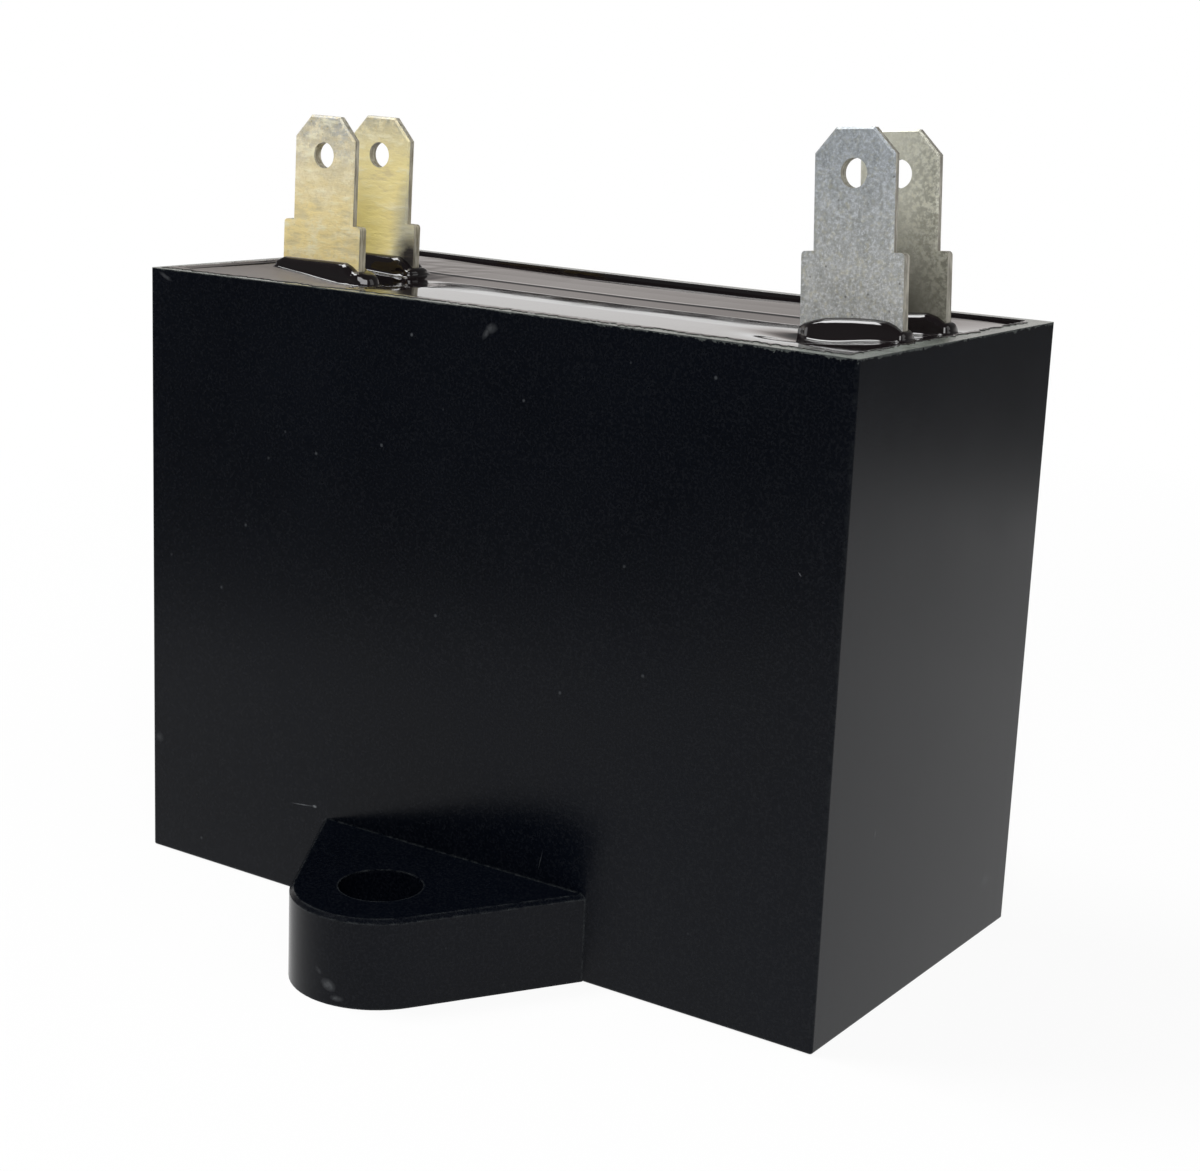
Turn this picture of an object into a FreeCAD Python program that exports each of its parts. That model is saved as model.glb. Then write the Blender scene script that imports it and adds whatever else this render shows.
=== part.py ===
import FreeCAD, Part
import math
import os

from FreeCAD import Vector

# Potted box capacitor for running a motor, with one mounting ear and two
# double push-on terminals. Millimetres, Z up. The origin is the centre of
# the case's underside, X runs along the case and the ear points to -Y.

# Case, a black plastic box that is open at the top
case_length = 63.5
case_depth = 31.8
case_height = 48.5
case_wall = 1.6
case_floor = 2.0
corner_radius = 0.25
underside_radius = 0.2
inside_corner_radius = 0.4
mouth_draw = 1.0  # how far each long wall is pulled in at the middle of the mouth

# Mounting ear, moulded with the case and flush with its underside
ear_thickness = 6.8
ear_foot = 25.3
ear_reach = 8.0  # from the wall to the centre of the hole
ear_nose_radius = 6.6
ear_offset = -0.3
ear_hole_diameter = 6.2
ear_edge_bevel = 0.3

# Double push-on terminal, one strip of tinned sheet folded into a U
sheet = 0.8
blade_width = 6.35
blade_tip_width = 3.0
blade_tip_slope = 1.8
blade_length = 8.6  # from the tip to the shoulders
blade_hole_diameter = 2.1
blade_hole_depth = 3.15  # from the tip to the centre of the hole
blade_bevel = 0.16
shank_width = 8.15
shoulder_radius = 0.3
terminal_height = 21.5
blade_pitch = 6.9
fold_radius = 0.8  # inside the fold

# How the terminals stand in the resin, set by hand and not quite upright.
# A lean is about Y and a pitch about X, in degrees, at the level of the rim.
tip_above_rim = 14.1
left_set_lower = 1.9  # the left terminal sits this much deeper in the resin
terminal_end_gap = 1.4  # from the shank to the inside of the end wall
left_lean = 1.0
right_lean = -3.9
left_pitch = -0.4
right_pitch = -1.7

# Potting resin, poured nearly to the rim
resin_edge_gap = 0.25  # below the rim at the walls
resin_dip = 0.9  # further below at the middle
collar_rise = 1.4  # how far the resin climbs each blade
collar_reach = 1.2
collar_lip = 0.12

# Wound film element, pressed flat, with sprayed metal on both ends
resin_end_cover = 3.0
resin_side_cover = 2.6
resin_floor_cover = 2.5
winding_top_gap = 0.5  # below the bend of the lower strip
spray_thickness = 0.6

# Lead strips and their solder joints
lead_width = 2.4
lead_thickness = 0.4
lead_bend_radius = 1.2  # inside the bend
lead_drop = 18.0  # from the top of the winding to the foot of the strip
lead_hold = 5.0  # length that lies under the terminal's web
lead_gap = 0.1  # solder between the strip and the face that it is joined to
lead_tail = 0.3  # end of the strip that shows beyond a joint
joint_radius = 1.9
joint_crown_radius = 1.4
joint_height = 0.9

inside_length = case_length - 2 * case_wall
inside_depth = case_depth - 2 * case_wall
shank_x = inside_length / 2 - terminal_end_gap - shank_width / 2
sign = {"left": -1, "right": 1}
lean = {"left": left_lean, "right": right_lean}
pitch = {"left": left_pitch, "right": right_pitch}
tip_level = {"left": tip_above_rim - left_set_lower, "right": tip_above_rim}
web_level = {side: tip_level[side] - terminal_height for side in sign}

winding_half = inside_length / 2 - resin_end_cover - spray_thickness
winding_depth = inside_depth - 2 * resin_side_cover
winding_low = case_floor + resin_floor_cover
lead_turn = lead_gap + lead_thickness + lead_bend_radius  # from a web down to the bend's start
winding_high = case_height + min(web_level.values()) - lead_turn - winding_top_gap


def draw_at(z):
    """How far the long walls are pulled in at height z, nothing at the floor."""
    return mouth_draw * (z / case_height) ** 2


def side_edge(start, end, sagitta_y):
    """A long side of the box: straight, or an arc that is pulled in by sagitta_y."""
    if abs(sagitta_y) < 1e-6:
        return Part.LineSegment(start, end).toShape()
    middle = (start + end) * 0.5 + Vector(0, sagitta_y, 0)
    return Part.Arc(start, middle, end).toShape()


def box_section(length, depth, radius, z):
    """One level outline of the box, with round corners and drawn-in long sides."""
    hx, hy, draw = length / 2, depth / 2, draw_at(z)
    edges = []
    for sx, sy in ((1, -1), (1, 1), (-1, 1), (-1, -1)):
        centre = Vector(sx * (hx - radius), sy * (hy - radius), z)
        on_end = centre + Vector(sx * radius, 0, 0)
        on_side = centre + Vector(0, sy * radius, 0)
        between = centre + Vector(sx, sy, 0) * (radius * math.sqrt(0.5))
        first, last = (on_side, on_end) if sx * sy < 0 else (on_end, on_side)
        edges.append(Part.Arc(first, between, last).toShape())
    end_right = Part.LineSegment(Vector(hx, radius - hy, z), Vector(hx, hy - radius, z)).toShape()
    side_back = side_edge(Vector(hx - radius, hy, z), Vector(radius - hx, hy, z), -draw)
    end_left = Part.LineSegment(Vector(-hx, hy - radius, z), Vector(-hx, radius - hy, z)).toShape()
    side_front = side_edge(Vector(radius - hx, -hy, z), Vector(hx - radius, -hy, z), draw)
    order = [edges[0], end_right, edges[1], side_back, edges[2], end_left, edges[3], side_front]
    return Part.Wire(order)


def box_body(length, depth, radius, low, high):
    """A block between two levels whose long sides follow the drawn-in walls."""
    levels = (low, (low + high) / 2, high)
    rings = [box_section(length, depth, radius, z).OrderedEdges for z in levels]
    faces = [Part.Face(Part.Wire(rings[0])), Part.Face(Part.Wire(rings[-1]))]
    for edges in zip(*rings):
        if abs(edges[0].BoundBox.XLength - length + 2 * radius) < 1e-6:
            drawn = Part.makeLoft([Part.Wire(edge) for edge in edges], False)
            faces.extend(drawn.Faces)
        else:
            faces.append(edges[0].extrude(Vector(0, 0, high - low)))
    skin = Part.makeCompound(faces)
    skin.sewShape()
    return Part.Solid(skin.Shells[0]).removeSplitter()


def ear_profile():
    """Outline of the ear seen from above: a round nose with two tangent flanks."""
    wall_y = -case_depth / 2
    root_y = wall_y + case_wall / 2
    centre = Vector(ear_offset, wall_y - ear_reach, 0)
    half = ear_foot / 2
    span = math.hypot(half, ear_reach)
    turn = math.atan2(ear_reach, half) + math.asin(ear_nose_radius / span)
    nose = {}
    for s in (-1, 1):
        normal = Vector(s * math.sin(turn), -math.cos(turn), 0)
        nose[s] = centre + normal * ear_nose_radius
    foot = {s: Vector(ear_offset + s * half, wall_y, 0) for s in (-1, 1)}
    root = {s: Vector(ear_offset + s * half, root_y, 0) for s in (-1, 1)}
    tip = centre + Vector(0, -ear_nose_radius, 0)
    edges = [
        Part.LineSegment(root[-1], foot[-1]).toShape(),
        Part.LineSegment(foot[-1], nose[-1]).toShape(),
        Part.Arc(nose[-1], tip, nose[1]).toShape(),
        Part.LineSegment(nose[1], foot[1]).toShape(),
        Part.LineSegment(foot[1], root[1]).toShape(),
        Part.LineSegment(root[1], root[-1]).toShape(),
    ]
    return Part.Face(Part.Wire(edges))


def ear_body():
    """The ear with its hole and a narrow bevel round the top of its flanks and nose."""
    ear = ear_profile().extrude(Vector(0, 0, ear_thickness))
    wall_y = -case_depth / 2
    rim = [
        edge for edge in ear.Edges
        if all(abs(v.Z - ear_thickness) < 1e-6 for v in edge.Vertexes)
        and edge.BoundBox.YMin < wall_y - 1e-6
    ]
    ear = ear.makeChamfer(ear_edge_bevel, rim)
    hole_centre = Vector(ear_offset, wall_y - ear_reach, -1)
    return ear.cut(Part.makeCylinder(ear_hole_diameter / 2, ear_thickness + 2, hole_centre))


def cavity_body():
    """The inside of the case, carried on above the rim so that it opens the mouth."""
    return box_body(inside_length, inside_depth, inside_corner_radius, case_floor, case_height + 3)


def case_body(cavity):
    """The box with its ear, hollowed from above."""
    box = box_body(case_length, case_depth, corner_radius, 0, case_height)
    under = [edge for edge in box.Edges if all(abs(v.Z) < 1e-6 for v in edge.Vertexes)]
    box = box.makeFillet(underside_radius, under)
    return box.fuse(ear_body()).cut(cavity).removeSplitter()


def blade_outline():
    """Front view of the terminal from its tip at height 0 down past the web."""
    tip, half, shank = blade_tip_width / 2, blade_width / 2, shank_width / 2
    r = min(shoulder_radius, (shank - half) / 2)
    low = -terminal_height - 1
    diagonal = r * math.sqrt(0.5)
    right = [
        Part.LineSegment(Vector(tip, 0, 0), Vector(half, 0, -blade_tip_slope)),
        Part.LineSegment(Vector(half, 0, -blade_tip_slope), Vector(half, 0, -blade_length)),
        Part.LineSegment(Vector(half, 0, -blade_length), Vector(shank - r, 0, -blade_length)),
        Part.Arc(
            Vector(shank - r, 0, -blade_length),
            Vector(shank - r + diagonal, 0, diagonal - r - blade_length),
            Vector(shank, 0, -r - blade_length),
        ),
        Part.LineSegment(Vector(shank, 0, -r - blade_length), Vector(shank, 0, low)),
    ]
    right = [curve.toShape() for curve in right if curve.length() > 1e-6]
    left = [edge.mirror(Vector(0, 0, 0), Vector(1, 0, 0)) for edge in right]
    top = Part.LineSegment(Vector(-tip, 0, 0), Vector(tip, 0, 0)).toShape()
    bottom = Part.LineSegment(Vector(shank, 0, low), Vector(-shank, 0, low)).toShape()
    return Part.Face(Part.Wire(Part.__sortEdges__([top, bottom] + right + left)))


def folded_strip():
    """Side view of the folded sheet as a U, drawn out to the width of the shank."""
    outer = blade_pitch / 2 + sheet / 2
    inner = outer - sheet
    low = -terminal_height
    big, small = fold_radius + sheet, fold_radius
    start = -shank_width / 2

    def leg_pair(half, radius, bottom):
        """A U outline that is half wide each way, with round lower corners."""
        k = radius * (1 - math.sqrt(0.5))
        points = {s: Vector(start, s * half, bottom + radius) for s in (-1, 1)}
        feet = {s: Vector(start, s * (half - radius), bottom) for s in (-1, 1)}
        bends = {s: Vector(start, s * (half - k), bottom + k) for s in (-1, 1)}
        tops = {s: Vector(start, s * half, 1) for s in (-1, 1)}
        return [
            Part.LineSegment(tops[-1], points[-1]).toShape(),
            Part.Arc(points[-1], bends[-1], feet[-1]).toShape(),
            Part.LineSegment(feet[-1], feet[1]).toShape(),
            Part.Arc(feet[1], bends[1], points[1]).toShape(),
            Part.LineSegment(points[1], tops[1]).toShape(),
            Part.LineSegment(tops[1], tops[-1]).toShape(),
        ]

    whole = Part.Face(Part.Wire(leg_pair(outer, big, low)))
    hollow = Part.Face(Part.Wire(leg_pair(inner, small, low + sheet)))
    reach = Vector(shank_width, 0, 0)
    return whole.extrude(reach).cut(hollow.extrude(reach))


def bevel_edges(shape):
    """Edges of the blades' faces that are coined before folding, above the shoulders."""
    found = []
    for edge in shape.Edges:
        box = edge.BoundBox
        on_face = box.YLength < 1e-6
        above = box.ZMin > -blade_length - 1e-6 and box.ZMax > 1e-6 - blade_length
        on_outline = max(abs(box.XMin), abs(box.XMax)) > blade_tip_width / 2 - 1e-6
        if on_face and above and on_outline and edge.Curve.TypeId == "Part::GeomLine":
            found.append(edge)
    return found


def seat(side):
    """Where a terminal stands: its middle at the level of the rim, and its tilt."""
    turn = FreeCAD.Rotation(Vector(0, 1, 0), lean[side])
    turn = turn.multiply(FreeCAD.Rotation(Vector(1, 0, 0), pitch[side]))
    return FreeCAD.Placement(Vector(sign[side] * shank_x, 0, case_height), turn)


def terminal_body(side):
    """One double terminal in its place, with beveled blades and a hole in each."""
    depth = blade_pitch + 4 * sheet
    outline = blade_outline().extrude(Vector(0, depth, 0))
    outline.translate(Vector(0, -depth / 2, 0))
    terminal = folded_strip().common(outline)
    terminal = terminal.makeChamfer(blade_bevel, bevel_edges(terminal))
    hole = Part.makeCylinder(
        blade_hole_diameter / 2, depth, Vector(0, -depth / 2, -blade_hole_depth), Vector(0, 1, 0)
    )
    terminal = terminal.cut(hole)
    terminal.translate(Vector(0, 0, tip_level[side]))
    return terminal.transformed(seat(side).toMatrix())


def flat_roll(start_x, length):
    """The pressed roll's section, two flat sides and round ends, along X."""
    radius = winding_depth / 2
    low, high = winding_low + radius, winding_high - radius
    corners = {
        (sy, z): Vector(start_x, sy * radius, z) for sy in (-1, 1) for z in (low, high)
    }
    edges = [
        Part.LineSegment(corners[-1, low], corners[-1, high]).toShape(),
        Part.Arc(corners[-1, high], Vector(start_x, 0, winding_high), corners[1, high]).toShape(),
        Part.LineSegment(corners[1, high], corners[1, low]).toShape(),
        Part.Arc(corners[1, low], Vector(start_x, 0, winding_low), corners[-1, low]).toShape(),
    ]
    return Part.Face(Part.Wire(edges)).extrude(Vector(length, 0, 0))


def winding_body():
    return flat_roll(-winding_half, 2 * winding_half)


def spray_body(side):
    start = winding_half if side == "right" else -winding_half - spray_thickness
    return flat_roll(start, spray_thickness)


def lead_points(side):
    """Foot, corner and inner end of a strip's hollow side, with its two directions."""
    s, place = sign[side], seat(side)
    x = s * (winding_half + spray_thickness + lead_gap)
    under = web_level[side] - lead_gap - lead_thickness
    inner = place.multVec(Vector(-s * lead_hold / 2, 0, under))
    outward = place.multVec(Vector(s, 0, under)) - place.multVec(Vector(0, 0, under))
    outward = Vector(outward.x, 0, outward.z).normalize()
    corner = inner + outward * ((x - inner.x) / outward.x)
    return Vector(x, inner.y, winding_high - lead_drop), corner, inner


def bent_line(start, corner, end, bend, step):
    """Edges of one side of a bent strip, moved out from the hollow side by step."""
    to_start = (start - corner).normalize()
    to_end = (end - corner).normalize()
    half_turn = to_start.getAngle(to_end) / 2
    inward = (to_start + to_end).normalize()
    from_start = (inward - to_start * inward.dot(to_start)).normalize()
    from_end = (inward - to_end * inward.dot(to_end)).normalize()
    start, end = start - from_start * step, end - from_end * step
    corner, bend = corner - inward * (step / math.sin(half_turn)), bend + step
    first = corner + to_start * (bend / math.tan(half_turn))
    last = corner + to_end * (bend / math.tan(half_turn))
    crown = corner + inward * (bend / math.sin(half_turn) - bend)
    edges = [
        Part.LineSegment(start, first).toShape(),
        Part.Arc(first, crown, last).toShape(),
        Part.LineSegment(last, end).toShape(),
    ]
    return edges, start, end


def lead_body(side):
    """Flat strip that runs up beside the sprayed end and turns in under the web."""
    points = lead_points(side)
    hollow, foot_in, end_in = bent_line(*points, lead_bend_radius, 0)
    crown, foot_out, end_out = bent_line(*points, lead_bend_radius, lead_thickness)
    ends = [
        Part.LineSegment(foot_in, foot_out).toShape(),
        Part.LineSegment(end_in, end_out).toShape(),
    ]
    side_view = Part.Face(Part.Wire(Part.__sortEdges__(hollow + crown + ends)))
    side_view.translate(Vector(0, -lead_width / 2, 0))
    return side_view.extrude(Vector(0, lead_width, 0))


def solder_mound(centre, direction):
    """A low mound of solder whose wide face lies at centre, square to direction."""
    return Part.makeCone(joint_radius, joint_crown_radius, joint_height, centre, direction)


def end_joint_body(side, lead):
    """Solder between the sprayed end and the foot of its strip."""
    foot = lead_points(side)[0]
    face_x = sign[side] * (winding_half + spray_thickness)
    centre = Vector(face_x, foot.y, foot.z + lead_tail + joint_radius)
    return solder_mound(centre, Vector(sign[side], 0, 0)).cut(lead)


def terminal_joint_body(side, lead):
    """Solder between the terminal's web and the end of the strip under it."""
    x = -sign[side] * (lead_hold / 2 - lead_tail - joint_radius)
    mound = solder_mound(Vector(x, 0, web_level[side]), Vector(0, 0, -1))
    return mound.transformed(seat(side).toMatrix()).cut(lead)


def resin_level(x, y):
    """Height of the set resin: high along the walls and lowest in the middle."""
    u, v = 2 * x / inside_length, 2 * y / inside_depth
    return case_height - resin_edge_gap - resin_dip * (1 - u ** 2) * (1 - v ** 2)


def air_above_resin():
    """What is cut off the fill, with the resin's free surface as its underside."""
    reach = 0.52
    grid = [
        [Vector(x, y, resin_level(x, y)) for y in (-reach * inside_depth, 0, reach * inside_depth)]
        for x in (-reach * inside_length, 0, reach * inside_length)
    ]
    surface = Part.BSplineSurface()
    surface.interpolate(grid)
    return surface.toShape().extrude(Vector(0, 0, 2 * tip_above_rim))


def collar_section(spread, centre):
    """Level outline of a resin collar round one blade, spread wider than the shank."""
    hx, hy = shank_width / 2 + spread, sheet / 2 + spread
    along, across = Vector(hx - hy, 0, 0), Vector(0, hy, 0)
    edges = [
        Part.LineSegment(centre - along - across, centre + along - across).toShape(),
        Part.Arc(
            centre + along - across, centre + Vector(hx, 0, 0), centre + along + across
        ).toShape(),
        Part.LineSegment(centre + along + across, centre - along + across).toShape(),
        Part.Arc(
            centre - along + across, centre - Vector(hx, 0, 0), centre - along - across
        ).toShape(),
    ]
    return Part.Wire(edges)


def collar_body(side, s):
    """Resin that has climbed one blade: a flared collar with a hollow flank."""
    place = seat(side)
    foot = place.multVec(Vector(0, s * blade_pitch / 2, 0))
    level = resin_level(foot.x, foot.y)
    steps = ((1.0, -0.15), (0.45, 0.22), (0.15, 0.6), (0.0, 1.0))
    wide = collar_reach - collar_lip
    sections = []
    for spread, rise in steps:
        z = level + collar_rise * rise
        centre = place.multVec(Vector(0, s * blade_pitch / 2, z - foot.z))
        sections.append(collar_section(collar_lip + wide * spread, Vector(centre.x, centre.y, z)))
    return Part.makeLoft(sections, True)


def resin_body(cavity, inner):
    """The fill: the case's inside up to the free surface, round all it holds."""
    fill = cavity.cut(air_above_resin())
    for side in sign:
        for s in (-1, 1):
            fill = fill.fuse(collar_body(side, s))
    return fill.cut(inner)


cavity = cavity_body()
terminals = {side: terminal_body(side) for side in sign}
leads = {side: lead_body(side) for side in sign}
pieces = {"case": case_body(cavity), "film_winding": winding_body()}
for side in sign:
    pieces["terminal_" + side] = terminals[side]
    pieces["end_spray_" + side] = spray_body(side)
    pieces["lead_strip_" + side] = leads[side]
    pieces["end_joint_" + side] = end_joint_body(side, leads[side])
    pieces["terminal_joint_" + side] = terminal_joint_body(side, leads[side])
inner = [shape for name, shape in pieces.items() if name != "case"]
pieces["potting_resin"] = resin_body(cavity, inner)

os.makedirs("parts", exist_ok=True)
for name, shape in pieces.items():
    if not shape.isValid() or len(shape.Solids) != 1:
        raise ValueError(name + " is not one valid solid")
    shape.Solids[0].exportStep("parts/" + name + ".step")
    print(name, round(shape.Volume, 1), "mm3")
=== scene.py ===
import math

import bpy
from mathutils import Matrix, Quaternion, Vector, noise


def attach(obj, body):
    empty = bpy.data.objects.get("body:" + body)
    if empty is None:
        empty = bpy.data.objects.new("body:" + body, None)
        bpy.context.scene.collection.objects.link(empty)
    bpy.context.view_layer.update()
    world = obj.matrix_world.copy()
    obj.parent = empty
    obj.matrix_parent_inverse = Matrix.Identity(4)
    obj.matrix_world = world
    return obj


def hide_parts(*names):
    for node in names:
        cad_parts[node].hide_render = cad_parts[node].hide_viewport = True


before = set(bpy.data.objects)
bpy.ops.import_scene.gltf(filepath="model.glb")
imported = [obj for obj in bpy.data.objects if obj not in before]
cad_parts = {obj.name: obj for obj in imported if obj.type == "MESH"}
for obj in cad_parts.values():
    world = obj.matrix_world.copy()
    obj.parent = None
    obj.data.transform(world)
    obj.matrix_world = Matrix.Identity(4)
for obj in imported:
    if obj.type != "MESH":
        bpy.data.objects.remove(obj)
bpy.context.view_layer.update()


# Case. An open box with one mounting ear, moulded together in black flame-retardant plastic.
# The long walls came out of the mould drawn in at the mouth. The skin is satin, with dust and
# handling marks on it, and the bottom of the ear's nose is scuffed.
mm = 0.001
case_length, case_depth, case_height = 63.5 * mm, 31.8 * mm, 48.5 * mm
case_wall = 1.6 * mm
mouth_draw = 1.0 * mm


def new_finish(name):
    """An empty finish: its material, its node tree and its shader."""
    finish = bpy.data.materials.new(name)
    finish.use_nodes = True
    return finish, finish.node_tree, finish.node_tree.nodes["Principled BSDF"]


def put(tree, kind, inputs=None, **settings):
    """Adds one node, with its settings, and fills or wires its inputs."""
    made = tree.nodes.new("ShaderNode" + kind)
    for key, value in settings.items():
        setattr(made, key, value)
    for key, value in (inputs or {}).items():
        if isinstance(value, bpy.types.NodeSocket):
            tree.links.new(value, made.inputs[key])
        else:
            made.inputs[key].default_value = value
    return made


def place_on_piece(tree):
    """Where a point lies on the piece, in metres."""
    return put(tree, "TexCoord").outputs["Object"]


def grain(tree, place, scale, detail=3.0, roughness=0.55, stretch=(1, 1, 1), turn=(0, 0, 0)):
    """Cloudy noise from 0 to 1, with scale features in a metre."""
    if stretch != (1, 1, 1) or turn != (0, 0, 0):
        inputs = {"Vector": place, "Scale": stretch, "Rotation": turn}
        place = put(tree, "Mapping", inputs).outputs[0]
    return put(
        tree, "TexNoise",
        {"Vector": place, "Scale": scale, "Detail": detail, "Roughness": roughness},
    ).outputs["Fac"]


def ramp(tree, value, *stops):
    """A value graded through stops of (position, grey or colour)."""
    made = put(tree, "ValToRGB", {"Fac": value})
    band = made.color_ramp
    while len(band.elements) < len(stops):
        band.elements.new(0.5)
    for element, (position, tone) in zip(band.elements, stops):
        element.position = position
        element.color = (tone, tone, tone, 1) if isinstance(tone, (int, float)) else (*tone, 1)
    return made.outputs["Color"]


def calc(tree, operation, first, second=0.5, third=0.5):
    """One sum on numbers."""
    return put(tree, "Math", {0: first, 1: second, 2: third}, operation=operation).outputs[0]


def blend(tree, share, under, over, way="MIX"):
    """Colour under with colour over laid on it by share."""
    made = put(tree, "Mix", {"Factor": share}, data_type="RGBA", blend_type=way)
    for socket, tone in ((made.inputs[6], under), (made.inputs[7], over)):
        if isinstance(tone, bpy.types.NodeSocket):
            tree.links.new(tone, socket)
        else:
            socket.default_value = (*tone, 1)
    return made.outputs[2]


def relief(tree, height, depth, strength=1.0, under=None):
    """Surface relief of that depth in metres."""
    inputs = {"Height": height, "Distance": depth, "Strength": strength}
    if under is not None:
        inputs["Normal"] = under
    return put(tree, "Bump", inputs).outputs[0]


def mark(tree, place, centre, size, turn=(0, 0, 0), soft=0.4):
    """A spot that is 1 inside and fades to 0 at its edge; centre and half sizes in millimetres."""
    inputs = {"Vector": place, "Location": [v * mm for v in centre], "Rotation": turn,
              "Scale": [v * mm for v in size]}
    inside = put(tree, "Mapping", inputs, vector_type="TEXTURE").outputs[0]
    reach = put(tree, "VectorMath", {0: inside}, operation="LENGTH").outputs["Value"]
    return ramp(tree, reach, (max(0.0, 1 - soft), 1.0), (1.0, 0.0))


def dress(node, finish):
    """Gives a CAD node its finish."""
    node.data.materials.clear()
    node.data.materials.append(finish)


plastic, tree, shader = new_finish("black_moulded_plastic")
place = place_on_piece(tree)
spot = put(tree, "SeparateXYZ", {0: place})
facing = put(tree, "NewGeometry").outputs["Normal"]
cloud = grain(tree, place, 45, 4, 0.6)
fine = grain(tree, place, 5200, 2, 0.7)
tone = ramp(tree, cloud, (0.3, (0.0005, 0.0011, 0.0028)), (0.7, (0.0010, 0.0019, 0.0044)))
tone = blend(tree, ramp(tree, fine, (0.45, 0.0), (0.75, 0.8)), tone, (0.0072, 0.0082, 0.0108))
# grains of dust lie here and there
cells = put(tree, "TexVoronoi", {"Vector": place, "Scale": 420.0, "Randomness": 1.0})
near = ramp(tree, cells.outputs["Distance"], (0.02, 1.0), (0.07, 0.0))
chosen = put(tree, "SeparateColor", {"Color": cells.outputs["Color"]})
few = calc(tree, "GREATER_THAN", chosen.outputs[0], 0.55)
dust = calc(tree, "MULTIPLY", calc(tree, "MULTIPLY", near, few), chosen.outputs[1])
tone = blend(tree, calc(tree, "MULTIPLY", dust, 0.6), tone, (0.13, 0.14, 0.15))
# the flat top of the rim is pale and stained
facing_up = calc(tree, "GREATER_THAN", put(tree, "SeparateXYZ", {0: facing}).outputs[2], 0.9)
at_the_top = calc(tree, "GREATER_THAN", spot.outputs[2], case_height - 0.1 * mm)
stains = ramp(tree, grain(tree, place, 700, 5, 0.75), (0.30, 0.55), (0.60, 0.95))
rim = calc(tree, "MULTIPLY", calc(tree, "MULTIPLY", facing_up, at_the_top), stains)
tone = blend(tree, rim, tone, (0.24, 0.265, 0.235))
# the outer edge of the rim is rubbed and chipped, most of all towards the right
chip_depth, chip_top = 0.42 * mm, case_height - 0.03 * mm
chip_size = ramp(tree, grain(tree, place, 1100, 5, 0.8), (0.44, 0.0), (0.74, 1.0))
to_the_right = ramp(tree, calc(tree, "DIVIDE", spot.outputs[0], 50 * mm), (0.0, 0.3), (0.45, 1.0))
chip_size = calc(tree, "MULTIPLY", chip_size, to_the_right)
chip_line = calc(tree, "MULTIPLY_ADD", chip_size, -chip_depth, chip_top)
chips = calc(tree, "GREATER_THAN", spot.outputs[2], chip_line)
chips = calc(tree, "MULTIPLY", chips, calc(tree, "MULTIPLY", fine, 0.75))
tone = blend(tree, chips, tone, (0.14, 0.155, 0.145))
# handling marks: centre and half sizes in millimetres, turn about X, Y and Z in degrees, strength
marks = (
    ((1.5, -15.0, 47.15), (0.62, 3.0, 0.42), (0, -20, 0), 0.22),
    ((1.05, -15.0, 46.75), (0.6, 3.0, 0.28), (0, -55, 0), 0.2),
    ((-30.2, -15.9, 47.9), (0.8, 2.0, 0.2), (0, 25, 0), 0.22),
    ((-15.2, -15.9, 7.35), (1.3, 2.0, 0.05), (0, -6, 0), 0.8),
    ((-13.9, -15.9, 7.5), (0.28, 2.0, 0.14), (0, 0, 0), 1.0),
    ((28.4, -15.9, 33.7), (0.22, 2.0, 0.05), (0, 45, 0), 0.9),
    ((32.0, -15.9, 28.2), (0.3, 2.0, 0.05), (0, -50, 0), 0.7),
    ((-31.0, -15.9, 9.6), (0.5, 2.0, 0.5), (0, 30, 0), 0.18),
    ((8.2, -15.9, 8.5), (0.04, 2.0, 0.9), (0, 12, 0), 0.3),
    ((31.75, -8.5, 14.1), (2.0, 0.05, 0.5), (0.3, 0, 0), 0.45),
    ((31.75, 11.8, 4.5), (2.0, 1.0, 0.7), (0.4, 0, 0), 0.1),
    ((0.5, -30.4, 1.5), (0.7, 1.5, 0.5), (0, 20, 0), 0.3),
    ((1.2, -30.4, 0.6), (0.6, 1.5, 0.25), (0, 0, 0), 0.35),
    ((-0.4, -30.3, 2.4), (0.4, 1.5, 0.2), (0, 40, 0), 0.2),
)
rough_edge = ramp(tree, grain(tree, place, 1500, 3, 0.7), (0.38, 0.0), (0.62, 1.0))
worn = None
for centre, size, turn, strength in marks:
    turn = [math.radians(a) for a in turn]
    spot = calc(tree, "MULTIPLY", mark(tree, place, centre, size, turn, 0.8), strength)
    worn = spot if worn is None else calc(tree, "MAXIMUM", worn, spot)
worn = calc(tree, "MULTIPLY", worn, calc(tree, "MULTIPLY_ADD", rough_edge, 0.6, 0.4))
tone = blend(tree, worn, tone, (0.19, 0.20, 0.21))
nick = mark(tree, place, (31.75, 11.9, 23.0), (1.0, 0.35, 0.55), (0.5, 0, 0), 0.3)
tone = blend(tree, nick, tone, (0.001, 0.001, 0.001))
# the edges are painted lighter grey, partly as rubbed wear and partly as a painted highlight
# along them
edge = put(tree, "Bevel", {"Radius": 0.22 * mm}, samples=4).outputs[0]
turned = put(tree, "VectorMath", {0: edge, 1: facing}, operation="DOT_PRODUCT").outputs["Value"]
rubbed_and_highlit_edge = calc(tree, "MULTIPLY", ramp(tree, turned, (0.93, 1.0), (0.995, 0.0)), rough_edge)
tone = blend(tree, calc(tree, "MULTIPLY", rubbed_and_highlit_edge, 0.35), tone, (0.09, 0.10, 0.10))
tree.links.new(tone, shader.inputs["Base Color"])
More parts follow.
